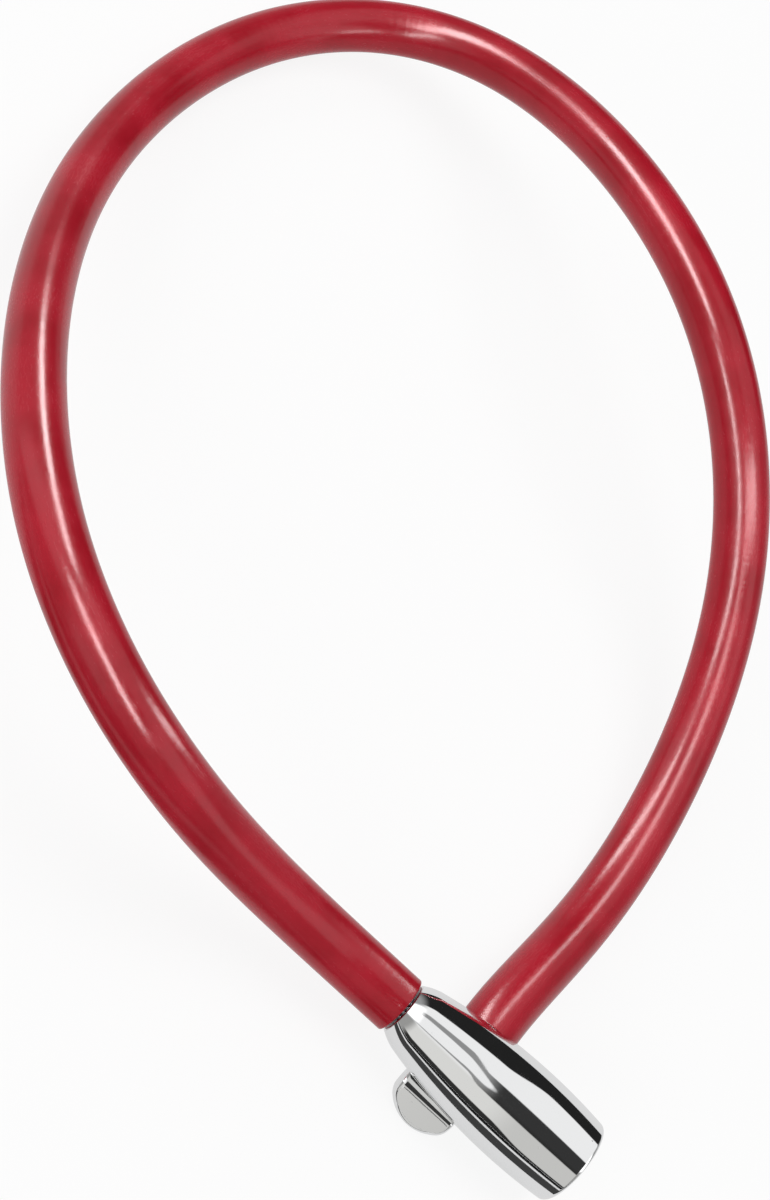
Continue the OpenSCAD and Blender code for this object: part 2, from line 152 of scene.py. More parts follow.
# node trees: Signal is a value on its way through a tree, and its arithmetic adds Math nodes
class Signal:
    def __init__(self, tree, socket):
        self.tree, self.socket = tree, socket

    def through(self, operation, *others):
        made = self.tree.nodes.new("ShaderNodeMath")
        made.operation = operation
        for slot, other in zip(made.inputs, (self,) + others):
            if isinstance(other, Signal):
                self.tree.links.new(other.socket, slot)
            else:
                slot.default_value = other
        return Signal(self.tree, made.outputs[0])

    def __add__(self, other):
        return self.through("ADD", other)

    def __radd__(self, other):
        return self.through("ADD", other)

    def __sub__(self, other):
        return self.through("SUBTRACT", other)

    def __rsub__(self, other):
        return (self * -1).through("ADD", other)

    def __mul__(self, other):
        return self.through("MULTIPLY", other)

    def __rmul__(self, other):
        return self.through("MULTIPLY", other)

    def __truediv__(self, other):
        return self.through("DIVIDE", other)

    def __pow__(self, other):
        return self.through("POWER", other)

    def sine(self):
        return self.through("SINE")

    def size(self):
        return self.through("ABSOLUTE")

    def most(self, other):
        return self.through("MAXIMUM", other)

    def angleTo(self, across):
        return self.through("ARCTAN2", across)

    def eased(self, low, high, first=0.0, last=1.0):
        # a smooth step from first to last between low and high
        made = self.tree.nodes.new("ShaderNodeMapRange")
        made.interpolation_type = "SMOOTHSTEP"
        self.tree.links.new(self.socket, made.inputs["Value"])
        for slot, value in zip(("From Min", "From Max", "To Min", "To Max"), (low, high, first, last)):
            if isinstance(value, Signal):
                self.tree.links.new(value.socket, made.inputs[slot])
            else:
                made.inputs[slot].default_value = value
        return Signal(self.tree, made.outputs["Result"])


class Finish:
    # a node tree and the one way to add anything but maths to it
    def __init__(self, owner):
        owner.use_nodes = True
        self.owner, self.tree = owner, owner.node_tree
        self.tree.nodes.clear()

    def add(self, kind, settings=None, inputs=None):
        made = self.tree.nodes.new(kind)
        for key, value in (settings or {}).items():
            setattr(made, key, value)
        for key, value in (inputs or {}).items():
            if isinstance(value, Signal):
                self.tree.links.new(value.socket, made.inputs[key])
            elif isinstance(value, bpy.types.NodeSocket):
                self.tree.links.new(value, made.inputs[key])
            else:
                made.inputs[key].default_value = value
        return made

    def signal(self, made, output=0):
        return Signal(self.tree, made.outputs[output])

    def blend(self, share, first, second):
        # colour first where share is 0, second where it is 1
        mixed = self.add("ShaderNodeMix", {"data_type": "RGBA"}, {0: share, 6: first, 7: second})
        return mixed.outputs[2]

    def noise(self, where, scale, detail=3.0, roughness=0.55):
        made = self.add("ShaderNodeTexNoise", {},
                        {"Vector": where, "Scale": scale, "Detail": detail, "Roughness": roughness})
        return self.signal(made, "Fac")

    def stretched(self, by, source="Object"):
        # coordinates of the piece, scaled differently along each axis
        place = self.add("ShaderNodeTexCoord").outputs[source]
        return self.add("ShaderNodeMapping", {}, {"Vector": place, "Scale": by}).outputs[0]

    def skin(self, settings):
        made = self.add("ShaderNodeBsdfPrincipled", {}, settings)
        self.add("ShaderNodeOutputMaterial", {}, {"Surface": made.outputs[0]})
        return self.owner


def newFinish(name):
    return Finish(bpy.data.materials.new(name))


# finishes
chromePlate = {"colour": (0.88, 0.885, 0.89, 1), "roughness": (0.025, 0.075), "ripple": 0.000012,
               "pits": 0.00002}
vinyl = {"deep": (0.33, 0.005, 0.014, 1), "bright": (0.43, 0.009, 0.024, 1), "roughness": (0.17, 0.30),
         "shine": 0.33, "ripple": 0.00006, "dust": 0.00001}
# rope colours: dark is painted shade for the grooves between strands, pale is the strands' tops
strand = {"dark": (0.10, 0.10, 0.11, 1), "pale": (0.58, 0.59, 0.61, 1), "depth": 0.0004}
toolDepth = 0.000008
metals = {
    "turned steel": {"dark": (0.42, 0.43, 0.45, 1), "pale": (0.64, 0.65, 0.67, 1),
                     "roughness": (0.14, 0.28), "rings": (400, 9000, 400)},
    "machined brass": {"dark": (0.50, 0.35, 0.12, 1), "pale": (0.80, 0.62, 0.28, 1),
                       "roughness": (0.20, 0.42), "rings": (500, 6000, 500)},
    "cast zinc": {"dark": (0.36, 0.36, 0.35, 1), "pale": (0.60, 0.60, 0.58, 1), "roughness": (0.38, 0.60),
                  "rings": (2500, 2500, 2500)},
    "spring steel": {"dark": (0.22, 0.22, 0.24, 1), "pale": (0.56, 0.57, 0.60, 1),
                     "roughness": (0.15, 0.32), "rings": (5000, 5000, 900)}}


def makeChrome():
    # mirror plating: roughness wanders a little, and shallow ripples and rare pin pits bend the mirror
    f = newFinish("chrome")
    where = f.stretched((1, 1, 1))
    haze = f.noise(where, 260, 4)
    ripple = f.noise(where, 420, 2)
    cells = f.add("ShaderNodeTexVoronoi", {"feature": "F1"},
                  {"Vector": where, "Scale": 900.0, "Randomness": 1.0})
    rare = f.noise(where, 700, 1).eased(0.66, 0.72)
    pits = f.signal(cells, "Distance").eased(0.05, 0.22, 1.0, 0.0) * rare
    low, high = chromePlate["roughness"]
    bent = f.add("ShaderNodeBump", {},
                 {"Strength": 0.25, "Distance": chromePlate["ripple"], "Height": ripple})
    bent = f.add("ShaderNodeBump", {"invert": True},
                 {"Strength": 0.6, "Distance": chromePlate["pits"], "Height": pits,
                  "Normal": bent.outputs[0]})
    return f.skin({"Base Color": chromePlate["colour"], "Metallic": 1.0,
                   "Roughness": haze.eased(0.35, 0.75, low, high) + pits * 0.25, "Normal": bent.outputs[0]})


def makeVinyl():
    # soft extruded vinyl: slow ripples along its length, fine lines from the die, and a dull bloom in patches
    f = newFinish("vinyl")
    along = f.stretched((9, 3, 1), "UV")
    lines = f.noise(f.stretched((6, 90, 1), "UV"), 1.0, 3)
    slow = f.noise(along, 1.0, 2)
    where = f.stretched((1, 1, 1))
    patches = f.noise(where, 60, 5)
    grain = f.noise(where, 2600, 2)
    low, high = vinyl["roughness"]
    bent = f.add("ShaderNodeBump", {},
                 {"Strength": 0.5, "Distance": vinyl["ripple"], "Height": slow + lines * 0.25})
    bent = f.add("ShaderNodeBump", {},
                 {"Strength": 0.25, "Distance": vinyl["dust"], "Height": grain, "Normal": bent.outputs[0]})
    return f.skin({"Base Color": f.blend(patches.eased(0.3, 0.7), vinyl["deep"], vinyl["bright"]),
                   "Roughness": (patches * 0.5 + lines * 0.5).eased(0.3, 0.7, low, high), "IOR": 1.52,
                   "Specular IOR Level": vinyl["shine"], "Normal": bent.outputs[0]})


def makeMetal(name):
    # worked metal: fine tool lines, and a stain that darkens in patches
    kind = metals[name]
    f = newFinish(name.replace(" ", "_"))
    lines = f.noise(f.stretched(kind["rings"]), 1.0, 2)
    where = f.stretched((1, 1, 1))
    stain = f.noise(where, 240, 5)
    low, high = kind["roughness"]
    bent = f.add("ShaderNodeBump", {}, {"Strength": 0.3, "Distance": toolDepth, "Height": lines})
    shade = (stain * 0.7 + lines * 0.3).eased(0.32, 0.68)
    return f.skin({"Base Color": f.blend(shade, kind["dark"], kind["pale"]), "Metallic": 1.0,
                   "Roughness": (stain * 0.4 + lines * 0.6).eased(0.3, 0.7, low, high),
                   "Normal": bent.outputs[0]})


def makeStranded():
    # wire rope: strands run round it as a slanted wave of the UV map, wires as a finer one. Its colour is
    # painted shade, dark in the grooves.
    f = newFinish("wire_rope")
    spread = f.add("ShaderNodeSeparateXYZ", {}, {"Vector": f.add("ShaderNodeTexCoord").outputs["UV"]})
    run, turn = f.signal(spread, 0), f.signal(spread, 1)
    strands = (run * 330 + turn * 37.7).sine().size()
    wires = (turn * 226 - run * 900).sine() * 0.5 + 0.5
    bent = f.add("ShaderNodeBump", {},
                 {"Strength": 0.9, "Distance": strand["depth"], "Height": strands + wires * 0.15})
    # painted shade: the colour darkens towards the grooves between strands, where the bump is lowest
    shade = strands.eased(0.0, 0.6)
    return f.skin({"Base Color": f.blend(shade, strand["dark"], strand["pale"]), "Metallic": 1.0,
                   "Roughness": wires.eased(0, 1, 0.22, 0.4), "Normal": bent.outputs[0]})


chrome, redVinyl, wireRope = makeChrome(), makeVinyl(), makeStranded()
steel, brass, zinc, springWire = [makeMetal(name) for name in ("turned steel", "machined brass",
                                                               "cast zinc", "spring steel")]
print("finishes made")

# cable: the control points of its route are those of the part's source. They weren't chosen by hand: a search
# in steps of 5 mm found them, and then the two ends were moved to the jacket's own ends.
cable = {"route": [(-16.6, 0, 0), (-45, 0, 0), (-75, -15, 30), (-130, 0, 40), (-180, 85, 0),
                   (-180, 165, -5), (-135, 205, 5), (-60, 150, 50), (-5, 120, 10), (10, 50, -10),
                   (0, 20, 0), (0, 7.1135, 0)],
         "radius": 5.98, "edge": 0.25, "overlap": 0.36, "ropeRadius": 2.5, "parting": 0.47,
         "rings": 420, "around": 72, "ropeRings": 320, "ropeAround": 32, "wallGap": 0.02, "ropeGap": 0.01,
         "ferruleEnd": (-7.6, 0, 0), "socketEnd": (0, -0.88, 0), "bendsFrom": 30, "bendsTo": 174}


def routePoints(share):
    # clamped uniform cubic B-spline by the Cox-de Boor rule, share 0 at the narrow end and 1 at the plug
    points = np.array(cable["route"], float)
    spans = len(points) - 3
    t = np.clip(np.asarray(share, float) * spans, 0, spans - 1e-6)
    knots = np.clip(np.arange(len(points) + 4) - 3, 0, spans)
    basis = [((knots[i] <= t) & (t < knots[i + 1])).astype(float) for i in range(len(knots) - 1)]

    def part(rise, run):
        return rise / run if run else np.zeros_like(t)

    for degree in (1, 2, 3):
        basis = [part(t - knots[i], knots[i + degree] - knots[i]) * basis[i]
                 + part(knots[i + degree + 1] - t, knots[i + degree + 1] - knots[i + 1]) * basis[i + 1]
                 for i in range(len(basis) - 1)]
    return sum(b[:, None] * p for b, p in zip(basis, points))


def headings(line, first=None, last=None):
    # unit directions along a line, with the end ones given where the cable enters the barrel
    way = np.gradient(line, axis=0)
    if first is not None:
        way[0] = first
    if last is not None:
        way[-1] = last
    return way / np.linalg.norm(way, axis=1)[:, None]


def runLength(line):
    return np.concatenate([[0], np.cumsum(np.linalg.norm(np.diff(line, axis=0), axis=1))])


def swept(line, way, radius, around):
    # rings of each radius square to the line: centre + r (cos a * across + sin a * upward)
    across = np.cross(way, (0, 0, 1))
    across /= np.linalg.norm(across, axis=1)[:, None]
    upward = np.cross(across, way)
    a = np.arange(around) / around * 2 * np.pi
    return (line[:, None] + radius[:, None, None]
            * (np.cos(a)[None, :, None] * across[:, None] + np.sin(a)[None, :, None] * upward[:, None]))


def jacketHalf(name, first, last, roundedEnd, overlap):
    # a tube with its wall: out across its end face, over a rounded lip, along the outside, and back along the
    # rope. The lip may stand past the end face by overlap, as it does round the plug's washer.
    line = routePoints(np.linspace(first, last, cable["rings"]))
    way = headings(line, (-1, 0, 0) if first == 0 else None, (0, -1, 0) if last == 1 else None)
    if roundedEnd == "last":
        line, way = line[::-1], -way[::-1]
    exitLine = line
    if overlap:
        line, way = np.concatenate([line[:1] - way[:1] * overlap, line]), np.concatenate([way[:1], way])
    run = runLength(line)
    radius, edge = cable["radius"], cable["edge"]
    a = np.radians(np.linspace(0, 90, 7))
    keep = run > edge * 1.05
    face = [overlap] * 2 if overlap else [0.0]
    faceRadius = [cable["ropeRadius"] + cable["wallGap"], radius - edge][:len(face)]
    outRun = np.concatenate([face, edge * (1 - np.cos(a)), run[keep]])
    outRadius = np.concatenate([faceRadius, radius - edge + edge * np.sin(a), np.full(keep.sum(), radius)])
    backRun = run[::-4]
    backRun = backRun[backRun > overlap + 0.01]
    allRun = np.concatenate([outRun, backRun])
    allRadius = np.concatenate([outRadius, np.full(len(backRun), cable["ropeRadius"] + cable["wallGap"])])
    middle = np.stack([np.interp(allRun, run, line[:, k]) for k in range(3)], 1)
    aim = np.stack([np.interp(allRun, run, way[:, k]) for k in range(3)], 1)
    aim /= np.linalg.norm(aim, axis=1)[:, None]
    rings = swept(middle, aim, allRadius, cable["around"])
    runs = np.concatenate([allRun, allRun[:1]]) * 0.1  # the UV map counts centimetres along the cable
    piece = makePiece(name, [(rings, True, True)], redVinyl, 40,
                      lambda r, c: (runs[r.astype(int)], c / cable["around"]))
    return piece, exitLine, run[-1] - overlap


def ropeHalf(name, first, last, inner):
    # the rope is solid: rings close to a point at both ends, and it runs on straight into its fitting
    line = routePoints(np.linspace(first, last, cable["ropeRings"]))
    line = np.concatenate([[inner], line]) if first == 0 else np.concatenate([line, [inner]])
    way = headings(line)
    radius = np.full(len(line), cable["ropeRadius"] - cable["ropeGap"])
    line = np.concatenate([line[:1], line, line[-1:]])
    way = np.concatenate([way[:1], way, way[-1:]])
    radius = np.concatenate([[0], radius, [0]])
    run = runLength(line) * 0.001
    rings = swept(line, way, radius, cable["ropeAround"])
    return makePiece(name, [(rings, False, True)], wireRope, 50,
                     lambda r, c: (run[r.astype(int)], c / cable["ropeAround"]))


def makeCable():
    fixed, fixedLine, fixedLength = jacketHalf("jacket_fixed", 0, cable["parting"], "first", 0)
    free, freeLine, freeLength = jacketHalf("jacket_free", cable["parting"], 1, "last", cable["overlap"])
    ropeFixed = ropeHalf("rope_fixed", 0, cable["parting"], cable["ferruleEnd"])
    ropeFree = ropeHalf("rope_free", cable["parting"], 1, cable["socketEnd"])
    for piece in (fixed, ropeFixed):
        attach(piece, "lock_body")
    for piece in (free, ropeFree):
        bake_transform(piece)
    for piece, line, length in ((fixed, fixedLine, fixedLength), (free, freeLine, freeLength)):
        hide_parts("cable_jacket")
        length * 0.001
    for piece in (ropeFixed, ropeFree):
        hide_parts("cable_rope")
    print("cable made,", round(fixedLength + freeLength, 1), "mm of it shows")


makeCable()

# barrel
barrel = {"nose": -16, "tail": 28, "bellyRadius": 9.8, "bellyAt": 14, "flankRadius": 125, "shoulderAt": -12,
          "noseRadius": 13, "crease": 2.5, "ease": 0.03, "rim": 0.9, "lip": 0.4,
          "noseBore": 4.5, "noseBoreEnd": -6,
          "keyBore": 6.6, "keyBoreEnd": 7.15, "plugBore": 4.56, "plugBoreEnd": -7.5, "boreChamfer": 1.0,
          "spotRadius": 6.2, "spotAt": 6.6135, "window": 8.3, "plugWindow": 52,
          "cells": 72, "stripCells": 176, "keyEdge": 0.12, "chamber": 6.1, "chamberFrom": 3.0,
          "chamberTo": 7.6}


def noseArc():
    b = barrel
    centre = b["bellyRadius"] - b["flankRadius"]
    shoulder = centre + np.sqrt(b["flankRadius"] ** 2 - (b["shoulderAt"] - b["bellyAt"]) ** 2)
    turn = np.arcsin((b["shoulderAt"] - b["bellyAt"]) / b["flankRadius"]) - np.radians(b["crease"])
    return b["shoulderAt"] - b["noseRadius"] * np.sin(turn), shoulder - b["noseRadius"] * np.cos(turn)


def barrelRadius(x):
    # a long arc swells the flanks, and from the shoulder on a tighter arc drops below it towards the nose
    b = barrel
    flank = b["bellyRadius"] - b["flankRadius"] + np.sqrt(b["flankRadius"] ** 2 - (x - b["bellyAt"]) ** 2)
    at, out = noseArc()
    nose = out + np.sqrt(np.maximum(b["noseRadius"] ** 2 - (x - at) ** 2, 0))
    drop = np.where(x < b["shoulderAt"], flank - nose, 0)
    return flank - (np.sqrt(drop ** 2 + b["ease"] ** 2) - b["ease"])


def onBarrel(x, angle):
    # angle 0 faces the plug's side (+Y), 90 faces up
    radius = barrelRadius(x)
    return np.stack([x, radius * np.cos(angle), radius * np.sin(angle)], -1)


def windowRim(half):
    # stations round a square window of the (x, angle) sheet, with the direction each has from its middle
    n = barrel["cells"]
    step = np.linspace(-1, 1, n + 1)[:-1]
    a = np.concatenate([step, np.ones(n), -step, -np.ones(n)])
    b = np.concatenate([-np.ones(n), step, np.ones(n), -step])
    return a * barrel["window"], b * np.radians(half), np.arctan2(b, a)


def windowSheet(half, radius, rows=26):
    # from the window's edge to a circle about the Y axis, along straight lines of the (x, angle) sheet
    edgeX, edgeAngle, way = windowRim(half)
    ringX, ringZ = radius * np.cos(way), radius * np.sin(way)
    ringAngle = np.arcsin(ringZ / barrelRadius(ringX))
    t = np.linspace(0, 1, rows)[:, None]
    x, angle = edgeX + (ringX - edgeX) * t, edgeAngle + (ringAngle - edgeAngle) * t
    return onBarrel(x, angle), way


def cutOut(piece, cutter):
    # the cutter's volume leaves the piece's mesh for good, and the cutter goes
    cut = piece.modifiers.new("cut", "BOOLEAN")
    cut.operation, cut.solver, cut.object = "DIFFERENCE", "EXACT", cutter
    whole = piece.data
    piece.data = bpy.data.meshes.new_from_object(piece.evaluated_get(bpy.context.evaluated_depsgraph_get()))
    piece.modifiers.clear()
    for used in (cutter.data, whole):
        bpy.data.meshes.remove(used)
    piece.data.name = piece.name


def makeBarrel():
    b = barrel
    # profile of the key end: bore, face, rim, then the flank up to the window. Points just beside the edges
    # hold the shading flat there.
    rimAt, rimReach = b["tail"] - b["rim"], b["flankRadius"] - b["rim"]
    rimOut = b["bellyRadius"] - b["flankRadius"] + np.sqrt(rimReach ** 2 - (rimAt - b["bellyAt"]) ** 2)
    lean = np.degrees(np.arcsin((rimAt - b["bellyAt"]) / rimReach))
    rim = arc((rimAt, rimOut), b["rim"], 90, lean, 16)
    flankX = np.linspace(rim[-1, 0] - 0.02, b["window"], 90)
    tail = np.concatenate([
        [(b["keyBoreEnd"], 0), (b["keyBoreEnd"], b["keyBore"]), (b["tail"] - 0.75, b["keyBore"]),
         (b["tail"] - b["keyEdge"], b["keyBore"])],
        arc((b["tail"] - b["keyEdge"], b["keyBore"] + b["keyEdge"]), b["keyEdge"], 180, 90, 5),
        [(b["tail"], b["keyBore"] + 0.16), (b["tail"], rimOut - 0.04)],
        rim, np.stack([flankX, barrelRadius(flankX)], 1)])
    at, out = noseArc()
    lipAt = b["nose"] + b["lip"]
    lipOut = out + np.sqrt((b["noseRadius"] - b["lip"]) ** 2 - (lipAt - at) ** 2)
    lipLean = np.degrees(np.arcsin((lipAt - at) / (b["noseRadius"] - b["lip"])))
    lip = arc((lipAt, lipOut - b["ease"]), b["lip"], lipLean, -90, 12)
    noseX = np.linspace(-b["window"], lip[0, 0] + 0.02, 60)
    nose = np.concatenate([
        np.stack([noseX, barrelRadius(noseX)], 1), lip,
        [(b["nose"], lip[-1, 1] - 0.04), (b["nose"], b["noseBore"] + 0.05)],
        [(b["nose"] + 0.08, b["noseBore"]), (b["noseBoreEnd"], b["noseBore"]), (b["noseBoreEnd"], 0)]])
    # columns of the turned ends: the window's stations, then the rest of the way round
    half = np.radians(b["plugWindow"])
    rest = np.linspace(half, 2 * np.pi - half, b["stripCells"] + 1)
    columns = np.concatenate([np.linspace(-half, half, b["cells"] + 1)[:-1], rest[:-1]])
    ends = [np.stack([np.repeat(p[:, :1], len(columns), 1), p[:, 1:] * np.cos(columns),
                      p[:, 1:] * np.sin(columns)], -1) for p in (tail, nose)]
    strip = onBarrel(*np.meshgrid(np.linspace(-b["window"], b["window"], b["cells"] + 1), rest,
                                  indexing="ij"))
    # plug side: a sunk flat inside its own rim, then the cross bore with its chamfered end
    plugSheet, way = windowSheet(b["plugWindow"], b["spotRadius"])
    ring = np.linspace(b["spotRadius"], b["plugBore"], 7)[:, None]
    ringX, ringZ = ring * np.cos(way), ring * np.sin(way)
    floor = np.minimum(np.sqrt(barrelRadius(ringX) ** 2 - ringZ ** 2), b["spotAt"])
    spot = np.stack([ringX, floor, ringZ], -1)
    depth = np.linspace(0, 1, 12)[1:, None]
    bore = floor[-1] + (b["plugBoreEnd"] + b["boreChamfer"] - floor[-1]) * depth
    bore = np.stack([b["plugBore"] * np.cos(way) + 0 * depth, bore,
                     b["plugBore"] * np.sin(way) + 0 * depth], -1)
    last = np.array([b["plugBore"] - b["boreChamfer"], 0])[:, None]
    end = np.stack([last * np.cos(way), b["plugBoreEnd"] + 0 * last * way, last * np.sin(way)], -1)
    sheets = [(ends[0], False, True), (ends[1], False, True), (strip, False, False),
              (np.concatenate([plugSheet, spot, bore, end]), False, True)]
    piece = makePiece("barrel", sheets, chrome, 30)
    # the cam's chamber joins the two bores
    chamber = np.array([(b["chamberFrom"], 0), (b["chamberFrom"], b["chamber"]),
                        (b["chamberTo"], b["chamber"]), (b["chamberTo"], 0)])
    cutOut(piece, makePiece("cam_chamber", [(turned(chamber, "x", 96), False, True)], chrome))
    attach(piece, "lock_body")
    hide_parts("lock_housing")
    print("barrel made,", len(piece.data.polygons), "faces")


makeBarrel()

# lug, badge plate, plug and washer
lug = {"droop": 33.7, "halfWidth": 6.65, "end": 15.9135, "endRadius": 8.5, "root": 5.2, "thick": 4.2,
       "under": 10.2, "ridge": (10.1135, 0.6), "roofSlope": 31, "faceSlope": 13, "ridgeEase": 0.34,
       "middle": 9.6, "edge": 0.9, "lowEdge": 0.4, "edgeShare": 0.46}
badge = {"halfWidth": 5.95, "endRadius": 7.8, "from": 10.8, "middle": 12.9, "proud": 0.15, "thick": 0.9,
         "edge": 0.14}
lockingPlug = {"radius": 4.5, "tip": -7.2, "chamfer": 1.0, "grooveRadius": 3.0, "groove": (-6.1, -3.26),
               "end": 7.11, "socket": -0.8865, "ropeRadius": 2.5}
washer = {"inner": 4.5, "outer": 5.7, "from": 6.7135, "to": 7.1135}


def drooped(x, n, c):
    # x across the lug, n out from the barrel's axis along the lug's middle plane, c square to that plane
    cos, sin = np.cos(np.radians(lug["droop"])), np.sin(np.radians(lug["droop"]))
    return np.stack([x, -n * cos - c * sin, -n * sin + c * cos], -1)


def lugTop(n, ease):
    # roof and face meet in a soft ridge: the lower of two slopes, rounded by a hyperbola
    at, rise = lug["ridge"]
    roof = rise - (at - n) * np.tan(np.radians(lug["roofSlope"]))
    face = rise - (n - at) * np.tan(np.radians(lug["faceSlope"]))
    return (roof + face) / 2 - np.sqrt(((roof - face) / 2) ** 2 + ease ** 2)


def lugUnder(n):
    cos, sin = np.cos(np.radians(lug["droop"])), np.sin(np.radians(lug["droop"]))
    return np.maximum(-lug["thick"], (sin * n - lug["under"]) / cos)


def halfMoon(shape, inner, around=240, power=14.0):
    # reach of the outline from its middle in each direction: the sides, the round end and the straight inner
    # edge, each as far as a ray goes to it, blended by a power mean that rounds the corners
    a = np.arange(around) / around * 2 * np.pi
    side, out = np.abs(np.sin(a)) + 1e-9, np.cos(a)
    off = shape["middle"] - (lug["end"] - lug["endRadius"])
    reach = np.stack([shape["halfWidth"] / side,
                      -off * out + np.sqrt(shape["endRadius"] ** 2 - (off * side) ** 2),
                      np.where(out < 0, (shape["middle"] - inner) / np.maximum(-out, 1e-9), 1e9)])
    return (reach ** -power).sum(0) ** (-1 / power), np.sin(a), out


def pillow(shape, inner, top, under, edge, lowEdge):
    # rows from the middle of the top out over a rounded edge, down the wall, and back in under it
    reach, across, out = halfMoon(shape, inner)
    edge, lowEdge = edge + 0 * reach, lowEdge + 0 * reach
    a = np.radians(np.linspace(0, 90, 9))[:, None]
    flat = np.linspace(0, 1, 40)[:, None] * (reach - edge)
    upper = np.concatenate([flat, reach - edge + edge * np.sin(a[1:])])
    drop = np.concatenate([0 * flat, edge * (1 - np.cos(a[1:]))])
    lower = np.concatenate([reach - lowEdge + lowEdge * np.cos(a),
                            np.linspace(1, 0, 12)[1:, None] * (reach - lowEdge)])
    lift = np.concatenate([lowEdge * (1 - np.sin(a)), 0 * np.linspace(1, 0, 12)[1:, None] * reach])
    radius = np.concatenate([upper, lower])
    x, n = radius * across, shape["middle"] + radius * out
    height = np.where(np.arange(len(radius))[:, None] < len(upper), top(n), under(n))
    height[:len(upper)] -= drop
    height[len(upper):] += lift
    return drooped(x, n, height)


def makeLug():
    reach, across, out = halfMoon(lug, lug["root"])
    rim = lug["middle"] + reach * out
    # the edge's radius is never more than a share of the wall's height
    edge = np.minimum(lug["edge"], lug["edgeShare"] * (lugTop(rim, lug["ridgeEase"]) - lugUnder(rim)))
    body = pillow(lug, lug["root"], lambda n: lugTop(n, lug["ridgeEase"]), lugUnder, edge,
                  np.minimum(lug["lowEdge"], edge))
    piece = makePiece("lug", [(body, False, True)], chrome, 40)
    plate = pillow(badge, badge["from"], lambda n: lugTop(n, 0) + badge["proud"],
                   lambda n: lugTop(n, 0) + badge["proud"] - badge["thick"], badge["edge"], badge["edge"])
    cover = makePiece("badge_plate", [(plate, False, True)], chrome, 40)
    for item, node in ((piece, "lock_housing"), (cover, "boss_cap")):
        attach(item, "lock_body")
        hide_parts(node)


def makePlug():
    p = lockingPlug
    low, high = p["groove"]
    profile = np.array([
        (p["tip"], 0), (p["tip"], p["radius"] - p["chamfer"] - 0.1),
        (p["tip"] + 0.06, p["radius"] - p["chamfer"]),
        (p["tip"] + p["chamfer"] - 0.05, p["radius"] - 0.08), (p["tip"] + p["chamfer"] + 0.08, p["radius"]),
        (low - 0.08, p["radius"]), (low, p["radius"] - 0.08), (low, p["grooveRadius"]),
        (high, p["grooveRadius"]), (high, p["radius"] - 0.08), (high + 0.08, p["radius"]),
        (p["end"], p["radius"]), (p["end"], p["ropeRadius"]),
        (p["socket"], p["ropeRadius"]), (p["socket"], 0)])
    piece = makePiece("locking_plug_turned", [(turned(profile, "y", 128), False, True)], steel, 28)
    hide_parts("locking_plug")
    w = washer
    ring = np.array([(w["from"], w["inner"]), (w["from"], w["outer"] - 0.08),
                     (w["from"] + 0.08, w["outer"]), (w["to"] - 0.08, w["outer"]),
                     (w["to"], w["outer"] - 0.08), (w["to"], w["inner"])])
    collar = makePiece("plug_washer_chromed", [(turned(ring, "y", 128), True, True)], chrome, 50)
    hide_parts("plug_washer")
    for item in (piece, collar):
        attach(item, "plug_body")


makeLug()
makePlug()
print("lug, badge plate, plug and washer made")

# CAD nodes that stay get their finishes
kept = {"end_ferrule": steel, "ferrule_ring": springWire, "cylinder_shell": zinc, "cylinder_pin": steel,
        "key_plug": brass, "tail_clip": springWire, "drive_cam": steel}
kept.update({f"wafer_{i}": brass for i in range(1, 6)})
kept.update({f"wafer_spring_{i}": springWire for i in range(1, 6)})
for node, finish in kept.items():
    frame["nodes"][node].data.materials.clear()
    frame["nodes"][node].data.materials.append(finish)
print("kept nodes finished")

# studio: pale floor, soft light, and a darker room that only the chrome and the gloss see. Lamps are (name,
# place, size, watts), cards (name, nearest and farthest Y, level), and slim tubes (name, place, direction,
# length, width, strength). The floor's half width and the cards' lift are in metres. The tubes'
# places were worked back from where the vinyl shines, rounded, then moved one by one.
studio = {"floor": 4.0, "floorWhite": 0.86, "backdropShare": 0.87, "mirrored": 0.76, "ambient": 0.42,
          "lamps": [("over", (60, 260, 820), 620, 3.4), ("front", (-320, -760, 420), 520, 2.2),
                    ("left", (-820, 240, 420), 420, 1.5)],
          "cards": [("far", (-3900, -127), 0.012), ("near", (-75, -28), 0.05)],
          "cardX": (-500, 900), "cardLift": 0.0004,
          "lampsAim": (-60, 60, 0), "tubesAim": (-60, 80, 20),
          "tubes": [("left", (-91, -58, 184), (-0.88, 0.46, 0.12), 200, 34, 20),
                    ("right", (-191, 124, 150), (0.66, -0.71, 0.26), 190, 40, 20),
                    ("lower", (-1, 96, 103), (0.12, 0.78, -0.61), 80, 26, 11)]}


def makeFloor():
    # to the camera and to mirrors mostly a plain bright sheet, to matt surfaces pale and diffuse
    half, white = studio["floor"], studio["floorWhite"]
    mesh = bpy.data.meshes.new("floor")
    mesh.from_pydata([(-half, -half, 0), (half, -half, 0), (half, half, 0), (-half, half, 0)], [],
                     [(0, 1, 2, 3)])
    f = newFinish("floor_white")
    rays = f.add("ShaderNodeLightPath")
    mirrored = f.signal(rays, "Is Glossy Ray")
    seen = f.signal(rays, "Is Camera Ray").most(mirrored).most(f.signal(rays, "Is Transmission Ray"))
    soft = f.add("ShaderNodeBsdfDiffuse", {}, {"Color": (white, white, white, 1)})
    bright = f.add("ShaderNodeEmission", {},
                   {"Color": (1, 1, 1, 1), "Strength": 1 - mirrored * (1 - studio["mirrored"])})
    both = f.add("ShaderNodeMixShader", {},
                 {0: seen * studio["backdropShare"], 1: soft.outputs[0], 2: bright.outputs[0]})
    f.add("ShaderNodeOutputMaterial", {}, {"Surface": both.outputs[0]})
    mesh.materials.append(f.owner)
    floor = bpy.data.objects.new("floor", mesh)
    bpy.context.collection.objects.link(floor)


